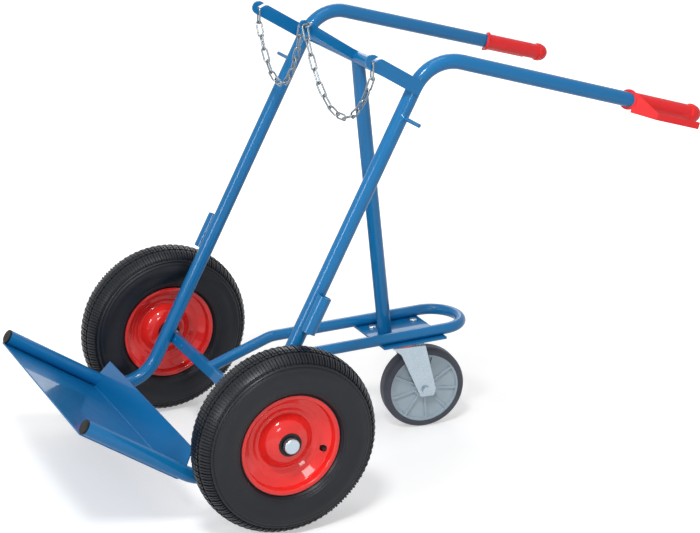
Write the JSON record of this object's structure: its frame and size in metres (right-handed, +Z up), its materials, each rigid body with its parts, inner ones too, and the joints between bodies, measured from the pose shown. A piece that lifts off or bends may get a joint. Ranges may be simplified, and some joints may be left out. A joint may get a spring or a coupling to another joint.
{
  "type": "two-bottle hand cart",
  "caption": "Bent-tube hand cart for gas bottles: leaning frame on pneumatic wheels and a swivelling rear castor, with a sloping foot plate, hooked prongs, safety chains and gripped handles.",
  "frame": {"origin": "on the floor under the middle of the cart's bounding box", "axes": "+X forwards to the foot plate, +Y to the cart's left, +Z up"},
  "size_m": [1.4152, 0.7918, 0.9829],
  "materials": {
    "frame_blue": "glossy blue powder coat",
    "plug_black": "black moulded plastic",
    "grip_red": "red moulded plastic",
    "zinc_steel": "bright zinc plate",
    "chain_steel": "bright zinc plate",
    "tyre_black": "charcoal rubber",
    "tube_rubber": "black rubber",
    "rim_red": "glossy red paint",
    "bearing_black": "black steel hub, bearing rings and seals",
    "castor_seal_red": "pale red plastic",
    "castor_rim_grey": "light grey moulded plastic",
    "castor_tread_grey": "dark grey rubber",
    "bush_white": "white moulded plastic"
  },
  "bodies": {
    "frame": {"left_side_tube": "frame_blue", "right_side_tube": "frame_blue", "foot_plate": "frame_blue", "left_foot_plug": "plug_black", "right_foot_plug": "plug_black", "axle_beam": "frame_blue", "axle": "zinc_steel", "axle_pins": "frame_blue", "axle_spacers": "zinc_steel", "axle_washers": "zinc_steel", "left_axle_cap": "zinc_steel", "right_axle_cap": "zinc_steel", "rear_loop": "frame_blue", "rear_strut": "frame_blue", "castor_shelf": "frame_blue", "crossbar": "frame_blue", "left_prong": "frame_blue", "middle_prong": "frame_blue", "right_prong": "frame_blue", "left_peg": "frame_blue", "right_peg": "frame_blue", "left_socket": "frame_blue", "right_socket": "frame_blue", "left_grip": "grip_red", "right_grip": "grip_red", "castor_bolts": "zinc_steel", "castor_nuts": "zinc_steel", "castor_washers": "zinc_steel", "castor_top_plate": "zinc_steel", "king_pin": "zinc_steel", "middle_chain_link": "chain_steel"},
    "left_wheel": {"left_tyre": "tyre_black", "left_inner_tube": "tube_rubber", "left_outer_rim": "rim_red", "left_inner_rim": "rim_red", "left_hub": "bearing_black", "left_wheel_bearings": "bearing_black", "left_valve": "tube_rubber"},
    "right_wheel": {"right_tyre": "tyre_black", "right_inner_tube": "tube_rubber", "right_outer_rim": "rim_red", "right_inner_rim": "rim_red", "right_hub": "bearing_black", "right_wheel_bearings": "bearing_black", "right_valve": "tube_rubber"},
    "castor_fork": {"castor_fork": "zinc_steel", "castor_race": "zinc_steel", "castor_balls": "zinc_steel", "castor_seal": "castor_seal_red", "castor_axle_bolt": "zinc_steel", "castor_axle_nut": "zinc_steel"},
    "castor_wheel": {"castor_rim": "castor_rim_grey", "castor_tread": "castor_tread_grey", "castor_bush": "bush_white"},
    "left_chain": {"left_chain": "chain_steel"},
    "right_chain": {"right_chain": "chain_steel"}
  },
  "joints": [
    {"name": "left_wheel_spin", "type": "hinge", "parent": "frame", "child": "left_wheel", "pos_m": [0.29826, 0.3465, 0.201], "axis": [0, 1, 0], "continuous": true},
    {"name": "right_wheel_spin", "type": "hinge", "parent": "frame", "child": "right_wheel", "pos_m": [0.29826, -0.3465, 0.201], "axis": [0, 1, 0], "continuous": true},
    {"name": "castor_swivel", "type": "hinge", "parent": "frame", "child": "castor_fork", "pos_m": [-0.14774, 0, 0.21], "axis": [0, 0, 1], "continuous": true},
    {"name": "castor_roll", "type": "hinge", "parent": "castor_fork", "child": "castor_wheel", "pos_m": [-0.20009, 0.00829, 0.0975], "axis": [0.1564, 0.9877, 0], "continuous": true},
    {"name": "left_chain_swing", "type": "hinge", "parent": "frame", "child": "left_chain", "pos_m": [0.07019, 0.2845, 0.95225], "axis": [-0.0719, 0.9953, -0.0649], "range_deg": [-60, 20]},
    {"name": "right_chain_swing", "type": "hinge", "parent": "frame", "child": "right_chain", "pos_m": [0.07019, -0.2845, 0.95225], "axis": [0.0719, 0.9953, 0.0649], "range_deg": [-60, 20]}
  ]
}
